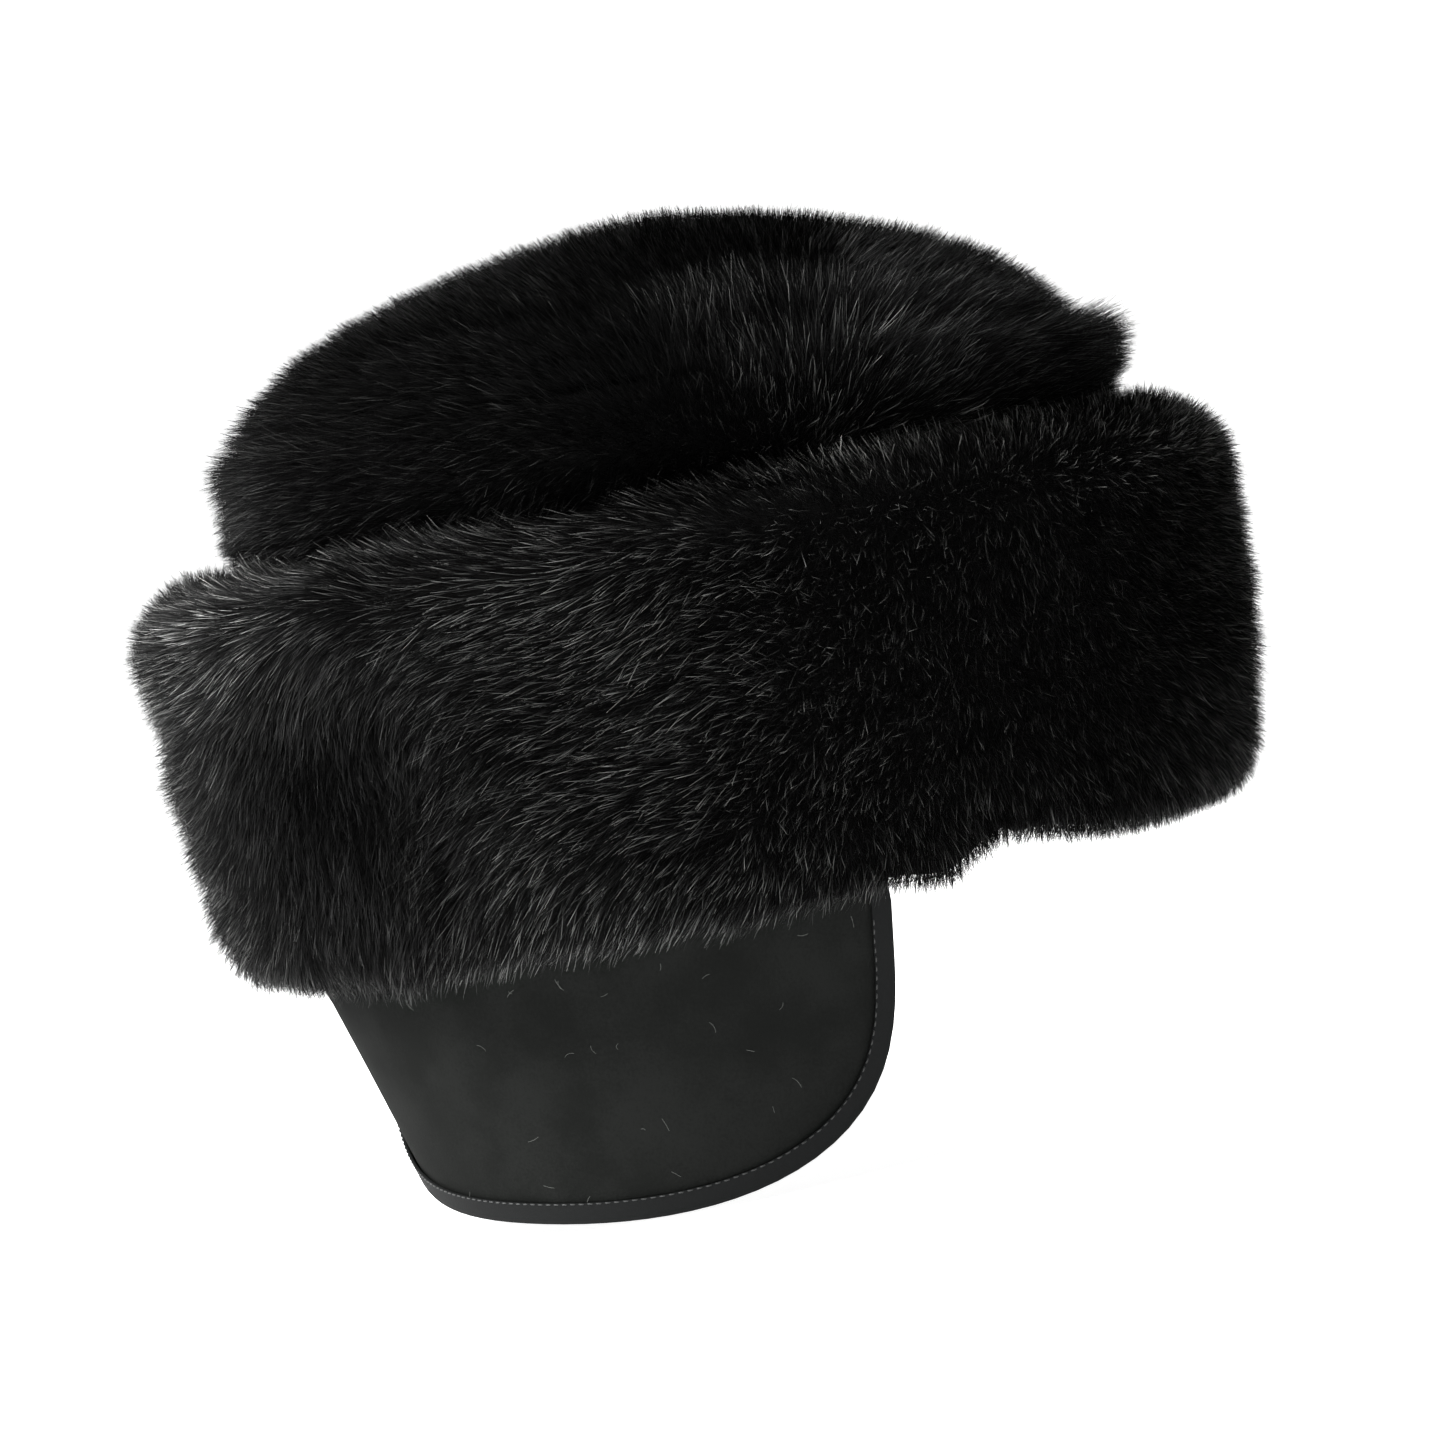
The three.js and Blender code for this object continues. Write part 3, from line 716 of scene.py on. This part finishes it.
def run_tree(carrier, tree, values, name):
    """Runs a node tree on an object and keeps what it makes as a plain mesh."""
    modifier = carrier.modifiers.new("nodes", "NODES")
    modifier.node_group = tree
    for item in tree.interface.items_tree:
        if item.in_out == "INPUT" and item.name in values:
            modifier[item.identifier] = values[item.name]
    carrier.update_tag()
    evaluated = carrier.evaluated_get(bpy.context.evaluated_depsgraph_get())
    mesh = bpy.data.meshes.new_from_object(evaluated)
    carrier.modifiers.remove(modifier)
    mesh.name = name
    return show(mesh, name)


def grow_pile(body, name, patch, length=1.0, rise=1.0, ruffle=1.0, pale=1.0):
    """The pile of one patch of a body. Pale is how pale its palest strands are painted; under 1 it paints
    shade over the whole patch.
    """
    props = cap_settings().pile
    tree = bpy.data.node_groups.get("combed_pile") or pile_tree()
    strand = bpy.data.objects.get("strand") or strand_shape()
    fibre = made_once("black_acrylic_pile", pile_fibre)
    pile = run_tree(body, tree, {
        "Strand": strand, "Fibre": fibre, "Patch": patch,
        "Density": props.density / MM ** 2, "Length": props.length * length, "Width": props.width,
        "Rise": props.rise * rise, "Clump": props.clump, "Ruffle": props.ruffle * ruffle, "Pale": pale,
        "Root": props.root, "Seed": props.seed + patch}, name)
    return declare(pile)


# The peak

SMOOTH_ANGLE = math.radians(40)  # edges under this angle are shaded smooth
EASE_ANGLE = math.radians(50)  # and those over this one are eased
RIDGE_ANGLE = math.radians(60)  # the board's faces meet its sides at more than this
TUCKED = -2 * MM  # the peak's own edge shows below this height
EDGE_MIDDLE = 5 * MM  # the edge's points are put in order by their angle round this height
LINT_LENGTHS = (0.8 * MM, 3.0 * MM)
LINT_BEND = 0.4 * MM
LINT_LIFT = 0.12 * MM  # over the cloth
LINT_STEPS = 7


def firm_copy(node, name, material, ease=0.0):
    """A CAD node's form with its corners joined, its curves shaded smooth and its edges eased."""
    shape = merged(node)
    mesh = bpy.data.meshes.new(name)
    shape.to_mesh(mesh)
    shape.free()
    for polygon in mesh.polygons:
        polygon.use_smooth = True
    mesh.set_sharp_from_angle(angle=SMOOTH_ANGLE)
    mesh.materials.append(material)
    piece = show(mesh, name)
    if ease:
        bevel = piece.modifiers.new("ease", "BEVEL")
        bevel.width = ease
        bevel.segments = 2
        bevel.limit_method = "ANGLE"
        bevel.angle_limit = EASE_ANGLE
        evaluated = piece.evaluated_get(bpy.context.evaluated_depsgraph_get())
        piece.data = bpy.data.meshes.new_from_object(evaluated)
        piece.data.name = name
        piece.modifiers.remove(bevel)
    return piece


def lint(cloth, name):
    """Loose pale fibres, a few millimetres long and slightly bent, that lie on the cloth's front."""
    props = cap_settings().peak
    draw = np.random.default_rng(props.lint_seed)
    faces = [p for p in cloth.data.polygons if p.normal.dot(Vector(FRONT)) > 0.5]
    areas = np.array([p.area for p in faces])
    verts, ribbon = [], []
    for index in draw.choice(len(faces), props.lint_count, p=areas / areas.sum()):
        normal = faces[index].normal
        turn = draw.uniform(0, math.pi)
        along = (Matrix.Rotation(turn, 3, normal) @ normal.orthogonal()).normalized()
        across = normal.cross(along)
        length = draw.uniform(*LINT_LENGTHS)
        bend = draw.uniform(-LINT_BEND, LINT_BEND)
        first = len(verts)
        for step in np.linspace(-1, 1, LINT_STEPS):
            middle = faces[index].center + along * (length * step / 2) + across * (bend * step * step)
            middle += normal * LINT_LIFT
            for half in (-0.5, 0.5):
                verts.append(middle + across * (half * props.lint_width))
        for k in range(LINT_STEPS - 1):
            corner = first + 2 * k
            ribbon.append((corner, corner + 1, corner + 3, corner + 2))
    mesh = bpy.data.meshes.new(name)
    mesh.from_pydata([tuple(v) for v in verts], [], ribbon)
    mesh.materials.append(lint_fibre())
    return declare(show(mesh, name))


def edge_of_peak():
    """The free edge of the board's front face: points in order, and the way out of the face."""
    shape = merged("peak")
    found = {}
    for edge in shape.edges:
        if len(edge.link_faces) != 2 or edge.calc_face_angle() < RIDGE_ANGLE:
            continue
        for side in edge.link_faces:
            middle = side.calc_center_median()
            outwards = Vector((middle.x, middle.y, 0)).normalized()
            if side.normal.dot(outwards) < 0.5:
                continue
            for vert in edge.verts:
                if vert.co.z < TUCKED:
                    found.setdefault(vert.index, (vert.co.copy(), []))[1].append(side.normal.copy())
    shape.free()
    rows = [(place, sum(normals, Vector()).normalized()) for place, normals in found.values()]
    rows.sort(key=lambda row: math.atan2(row[0].z - EDGE_MIDDLE, row[0].x))
    return [place for place, _ in rows], [way for _, way in rows]


def stitch_path(name, inset, height):
    """A line of edges that follows the peak's edge, inset from it and off the front face."""
    places, ways = edge_of_peak()
    last = len(places) - 1
    verts = []
    for k, (place, out) in enumerate(zip(places, ways)):
        along = (places[min(k + 1, last)] - places[max(k - 1, 0)]).normalized()
        inward = out.cross(along).normalized()
        verts.append(place + inward * inset + out * height)
    mesh = bpy.data.meshes.new(name)
    mesh.from_pydata([tuple(v) for v in verts], [(k, k + 1) for k in range(last)], [])
    keep(mesh, "out", np.array([tuple(way) for way in ways]), "FLOAT_VECTOR")
    return show(mesh, name)


def stitch_shape():
    """One stitch, a unit long and a unit thick: a short run of thread that dips at both ends."""
    sides = 6
    # place along the stitch, radius and height of each ring
    stations = [(-0.5, 0.35, -0.5), (-0.3, 0.5, 0.0), (0.3, 0.5, 0.0), (0.5, 0.35, -0.5)]
    verts, faces = [], []
    for x, radius, height in stations:
        for k in range(sides):
            turn = 2 * math.pi * k / sides
            verts.append((x, radius * math.cos(turn), height + radius * math.sin(turn)))
    for s in range(len(stations) - 1):
        for k in range(sides):
            a, b = s * sides + k, s * sides + (k + 1) % sides
            faces.append((a, b, b + sides, a + sides))
    faces.append(tuple(reversed(range(sides))))
    faces.append(tuple(range(3 * sides, 4 * sides)))
    mesh = bpy.data.meshes.new("stitch")
    mesh.from_pydata(verts, [], faces)
    mesh.validate()
    for polygon in mesh.polygons:
        polygon.use_smooth = True
    return show(mesh, "stitch")


def stitch_tree():
    """Geometry Nodes: stitches an even pitch apart along a line, turned to a mesh."""
    tree, inputs = new_tree("row_of_stitches", (
        ("Line", "Geometry"), ("Stitch", "Object"), ("Thread", "Material"),
        ("Pitch", "Float"), ("Length", "Float"), ("Thickness", "Float")), "Stitches")
    line = add_node(tree, "GeometryNodeMeshToCurve", {}, {"Mesh": (inputs, "Line")})
    points = add_node(tree, "GeometryNodeCurveToPoints", {"mode": "LENGTH"}, {
        "Curve": (line, "Curve"), "Length": (inputs, "Pitch")})
    out = add_node(tree, "GeometryNodeInputNamedAttribute", DIRECTION, {"Name": "out"})
    along = add_node(tree, "FunctionNodeAlignRotationToVector", {"axis": "X"}, {
        "Vector": (points, "Tangent")})
    upright = add_node(tree, "FunctionNodeAlignRotationToVector", {"axis": "Z", "pivot_axis": "X"}, {
        "Rotation": (along, "Rotation"), "Vector": (out, "Attribute")})
    size = add_node(tree, "ShaderNodeCombineXYZ", {}, {
        "X": (inputs, "Length"), "Y": (inputs, "Thickness"), "Z": (inputs, "Thickness")})
    shape = add_node(tree, "GeometryNodeObjectInfo", {"transform_space": "ORIGINAL"}, {
        "Object": (inputs, "Stitch"), "As Instance": True})
    row = add_node(tree, "GeometryNodeInstanceOnPoints", {}, {
        "Points": (points, "Points"), "Instance": (shape, "Geometry"),
        "Rotation": (upright, "Rotation"), "Scale": (size, "Vector")})
    close_tree(tree, (row, "Instances"), (inputs, "Thread"), "Stitches")
    return tree


def sew(name, height):
    """One row of stitches, at a height over the board's front face."""
    props = cap_settings().peak
    line = stitch_path(name + "_line", props.stitch_inset, height)
    tree = bpy.data.node_groups.get("row_of_stitches") or stitch_tree()
    shape = bpy.data.objects.get("stitch") or stitch_shape()
    thread = made_once("charcoal_sewing_thread", sewing_thread)
    row = run_tree(line, tree, {
        "Stitch": shape, "Thread": thread, "Pitch": props.stitch_pitch,
        "Length": props.stitch_length, "Thickness": props.thread}, name)
    bpy.data.objects.remove(line)
    return declare(row)


# Properties

class PileProps(bpy.types.PropertyGroup):
    """Sizes and colours of the fake fur."""
    length: FloatProperty(
        name="Length", description="Usual length of a strand", default=10.5 * MM, unit="LENGTH")
    width: FloatProperty(
        name="Width", description="Width of a strand as drawn, which is several fibres",
        default=0.14 * MM, unit="LENGTH")
    density: FloatProperty(name="Density", description="Strands on a square millimetre", default=3.6)
    rise: FloatProperty(
        name="Rise", description="How steeply the pile stands, as the rise of a slope", default=0.8)
    clump: FloatProperty(name="Clump", description="How much the strands gather in tufts", default=0.6)
    ruffle: FloatProperty(name="Ruffle", description="How much single strands stray", default=0.32)
    sink: FloatProperty(
        name="Sink", description="Depth of the underfur below the smoothed solid",
        default=2.4 * MM, unit="LENGTH")
    root: FloatProperty(
        name="Root", description="Depth of the roots in the underfur", default=0.9 * MM, unit="LENGTH")
    seed: IntProperty(name="Seed", description="Start of the random draws", default=11)
    root_colour: StringProperty(
        name="Root colour", description="Pile at the roots, sRGB hex", default="#050505")
    # Pale colour painted on strand tips as painted glints
    tip_glint_colour: StringProperty(
        name="Tip colour", description="Pile at the palest tips, sRGB hex", default="#f2f3ef")
    dull: FloatProperty(name="Dull", description="Glint of the roots", default=0.035)
    bright: FloatProperty(name="Bright", description="Glint of the palest tips", default=1.0)
    backing_colour: StringProperty(name="Backing", description="Underfur, sRGB hex", default="#050505")


class PeakProps(bpy.types.PropertyGroup):
    """Sizes and colours of the peak's cloth and stitching."""
    stitch_pitch: FloatProperty(
        name="Stitch pitch", description="From one stitch to the next",
        default=1.9 * MM, unit="LENGTH")
    stitch_length: FloatProperty(
        name="Stitch length", description="Part of the thread that shows",
        default=1.2 * MM, unit="LENGTH")
    thread: FloatProperty(
        name="Thread", description="Thickness of the thread", default=0.32 * MM, unit="LENGTH")
    stitch_inset: FloatProperty(
        name="Stitch inset", description="From the peak's edge to the stitches",
        default=3.4 * MM, unit="LENGTH")
    cloth_dark: StringProperty(
        name="Cloth, dark", description="Hollows of the nap, sRGB hex", default="#131413")
    cloth_light: StringProperty(
        name="Cloth, light", description="Raised nap, sRGB hex", default="#191a19")
    tape_colour: StringProperty(name="Tape", description="Binding tape, sRGB hex", default="#131414")
    thread_colour: StringProperty(
        name="Thread colour", description="Stitches, sRGB hex", default="#1c1e1d")
    lint_colour: StringProperty(name="Lint", description="Stray pale fibres, sRGB hex", default="#525451")
    lint_width: FloatProperty(
        name="Lint width", description="Width of a stray fibre", default=0.07 * MM, unit="LENGTH")
    lint_seed: IntProperty(name="Lint seed", description="Start of the random draws", default=4)
    lint_count: IntProperty(name="Lint count", description="Stray fibres on the peak's front", default=42)


class StageProps(bpy.types.PropertyGroup):
    """Light and floor of the studio."""
    key: FloatProperty(
        name="Key light", description="Large soft light at the front left", default=78.0, unit="POWER")
    rim: FloatProperty(
        name="Rim light", description="Light from behind on the left", default=2.0, unit="POWER")
    sky: FloatProperty(name="Sky", description="Strength of the even white surroundings", default=0.06)
    glow: FloatProperty(name="Glow", description="Light of the floor's own", default=0.95)
    floor_height: FloatProperty(
        name="Floor", description="Height of the floor, just under the peak",
        default=CAD_BOX[0][2] - 0.5 * MM, unit="LENGTH")


class CapProps(bpy.types.PropertyGroup):
    """Everything that can be changed on the cap."""
    pile: PointerProperty(type=PileProps)
    peak: PointerProperty(type=PeakProps)
    stage: PointerProperty(type=StageProps)


# Operators

class CAP_OT_crown_top(bpy.types.Operator):
    """Top panel of the crown with its pile"""
    bl_idname = "cap.crown_top"
    bl_label = "Crown top"

    parts = 2

    def execute(self, context):
        body = soft_body("crown_top", "crown_top_body", seam_shift=TOP_SHIFT)
        comb(body, crown_comb, crown_stand, seam=1.0)
        declare(body, ["crown_top"])
        split_round(body, self.parts)
        for number in range(1, self.parts + 1):
            grow_pile(body, f"crown_top_pile_{number}", number, **CROWN_PILE)
        return {"FINISHED"}


class CAP_OT_crown_side(bpy.types.Operator):
    """Side panel of the crown with its pile"""
    bl_idname = "cap.crown_side"
    bl_label = "Crown side"

    def execute(self, context):
        body = soft_body("crown_side", "crown_side_body", SIDE_PILE_FROM, seam_shift=SIDE_SHIFT)
        comb(body, side_comb, crown_stand, seam=1.0)
        declare(body, ["crown_side"])
        grow_pile(body, "crown_side_pile", 1, **CROWN_PILE)
        return {"FINISHED"}


class CAP_OT_cuff(bpy.types.Operator):
    """Turned-up cuff with its pile"""
    bl_idname = "cap.cuff"
    bl_label = "Cuff"

    parts = 4

    def execute(self, context):
        body = soft_body("cuff", "cuff_body", rims=CUFF_RIMS, hanging=HANGING)
        comb(body, cuff_comb, cuff_stand)
        split_round(body, self.parts)
        declare(body, ["cuff"])
        for number in range(1, self.parts + 1):
            grow_pile(body, f"cuff_pile_{number}", number)
        return {"FINISHED"}


class CAP_OT_peak(bpy.types.Operator):
    """Peak: the cloth over its board, the tape round its edge and the stitches"""
    bl_idname = "cap.peak"
    bl_label = "Peak"

    board = 2.6 * MM
    tape = 1.0 * MM  # from the board's face to the outside of the tape
    tape_ease = 0.25 * MM

    def execute(self, context):
        cloth = firm_copy("peak", "peak_cloth", brushed_cotton())
        declare(cloth, ["peak"])
        lint(cloth, "peak_lint")
        tape = firm_copy("peak_binding", "peak_tape", cotton_tape(), ease=self.tape_ease)
        declare(tape, ["peak_binding"])
        sew("peak_stitches_front", self.tape)
        sew("peak_stitches_back", -self.board - self.tape)
        return {"FINISHED"}


class CAP_OT_stage(bpy.types.Operator):
    """Floor, light and camera"""
    bl_idname = "cap.stage"
    bl_label = "Stage"

    # Where each light hangs, to the right, away and up as the camera sees it from the frame's
    # origin, and how long its side is
    key_light = ((-0.9, -0.5, 1.1), 0.9)
    rim_light = ((-1.2, 0.7, 0.5), 0.8)

    def execute(self, context):
        scene = context.scene
        props = cap_settings().stage
        floor_and_wall(props.floor_height)
        soft_light("key_light", props.key, *self.key_light)
        soft_light("rim_light", props.rim, *self.rim_light)
        scene.world = bpy.data.worlds.new("white_surroundings")
        scene.world.use_nodes = True
        background = scene.world.node_tree.nodes["Background"]
        background.inputs["Color"].default_value = (1, 1, 1, 1)
        background.inputs["Strength"].default_value = props.sky
        scene.view_settings.view_transform = "Standard"
        scene.camera = photo_camera()
        return {"FINISHED"}


class CAP_PT_panel(bpy.types.Panel):
    """Sizes, colours and pieces of the cap"""
    bl_idname = "CAP_PT_panel"
    bl_label = "Fake fur cap"
    bl_space_type = "VIEW_3D"
    bl_region_type = "UI"
    bl_category = "Cap"

    def draw(self, context):
        settings = context.scene.fur_cap
        for group in (settings.pile, settings.peak, settings.stage):
            box = self.layout.box()
            for name in group.__annotations__:
                box.prop(group, name)
        for operator in OPERATORS:
            self.layout.operator(operator.bl_idname)


# Stage

def floor_and_wall(height):
    """A pale floor of lit acrylic sheet that sweeps up behind the cap in one curve."""
    width, near, far, radius, tall = 8.0, -4.0, 3.0, 1.2, 4.0
    steps = 16
    turns = [math.pi / 2 * i / steps for i in range(steps + 1)]
    profile = [(near, 0.0)] + [(far + radius * math.sin(t), radius * (1 - math.cos(t))) for t in turns]
    profile.append((far + radius, tall))
    away = Matrix.Rotation(VIEW_AZIMUTH, 3, "Z")
    verts, faces = [], []
    for y, z in profile:
        for x in (-width / 2, width / 2):
            verts.append(away @ Vector((x, y, 0)) + Vector((0, 0, z + height)))
    for i in range(len(profile) - 1):
        faces.append((2 * i, 2 * i + 1, 2 * i + 3, 2 * i + 2))
    mesh = bpy.data.meshes.new("floor")
    mesh.from_pydata([tuple(v) for v in verts], [], faces)
    for polygon in mesh.polygons:
        polygon.use_smooth = True
    material, tree = new_material("white_lit_acrylic")
    shader = add_node(tree, "ShaderNodeBsdfPrincipled", {}, {
        "Base Color": linear("#f4f4f4"), "Roughness": 0.9, "Specular IOR Level": 0.0,
        "Emission Color": (1.0, 1.0, 1.0, 1.0), "Emission Strength": cap_settings().stage.glow})
    close_material(tree, shader)
    mesh.materials.append(material)
    floor = show(mesh, "floor")


def soft_light(name, power, place, size):
    """A square area light that looks at the cap."""
    light = bpy.data.lights.new(name, "AREA")
    light.energy = power
    light.size = size
    lamp = bpy.data.objects.new(name, light)
    bpy.context.scene.collection.objects.link(lamp)
    lamp.location = Matrix.Rotation(VIEW_AZIMUTH, 3, "Z") @ Vector(place)
    lamp.rotation_euler = (HEAD_MIDDLE - lamp.location).to_track_quat("-Z", "Y").to_euler()


def photo_camera():
    """The camera at the photograph's angle, rolled as the cap leans there."""
    azimuth, elevation, roll = VIEW_AZIMUTH, VIEW_ELEVATION, VIEW_ROLL
    back = Vector((math.sin(azimuth) * math.cos(elevation), -math.cos(azimuth) * math.cos(elevation),
                   math.sin(elevation)))
    right = Vector((math.cos(azimuth), math.sin(azimuth), 0))
    up = back.cross(right)
    across = right * math.cos(roll) - up * math.sin(roll)
    upward = right * math.sin(roll) + up * math.cos(roll)
    data = bpy.data.cameras.new("photo_camera")
    data.sensor_width = 36.0
    data.lens = data.sensor_width * VIEW_DISTANCE * VIEW_SCALE / IMAGE_SIZE
    data.shift_x = -VIEW_OFFSET[0] / IMAGE_SIZE
    data.shift_y = VIEW_OFFSET[1] / IMAGE_SIZE
    camera = bpy.data.objects.new("photo_camera", data)
    bpy.context.scene.collection.objects.link(camera)
    turn = Matrix((across, upward, back)).transposed().to_4x4()
    camera.matrix_world = Matrix.Translation(HEAD_MIDDLE + back * VIEW_DISTANCE) @ turn
    return camera


OPERATORS = (CAP_OT_crown_top, CAP_OT_crown_side, CAP_OT_cuff, CAP_OT_peak, CAP_OT_stage)
CLASSES = (PileProps, PeakProps, StageProps, CapProps, *OPERATORS, CAP_PT_panel)


def register():
    for entry in CLASSES:
        bpy.utils.register_class(entry)
    bpy.types.Scene.fur_cap = PointerProperty(type=CapProps)


def unregister():
    del bpy.types.Scene.fur_cap
    for entry in reversed(CLASSES):
        bpy.utils.unregister_class(entry)


def main():
    """Makes every piece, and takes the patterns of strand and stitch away."""
    register()
    for operator in OPERATORS:
        category, name = operator.bl_idname.split(".")
        getattr(getattr(bpy.ops, category), name)()
    for name in ("strand", "stitch"):
        bpy.data.objects.remove(bpy.data.objects[name])


if __name__ == "__main__":
    main()
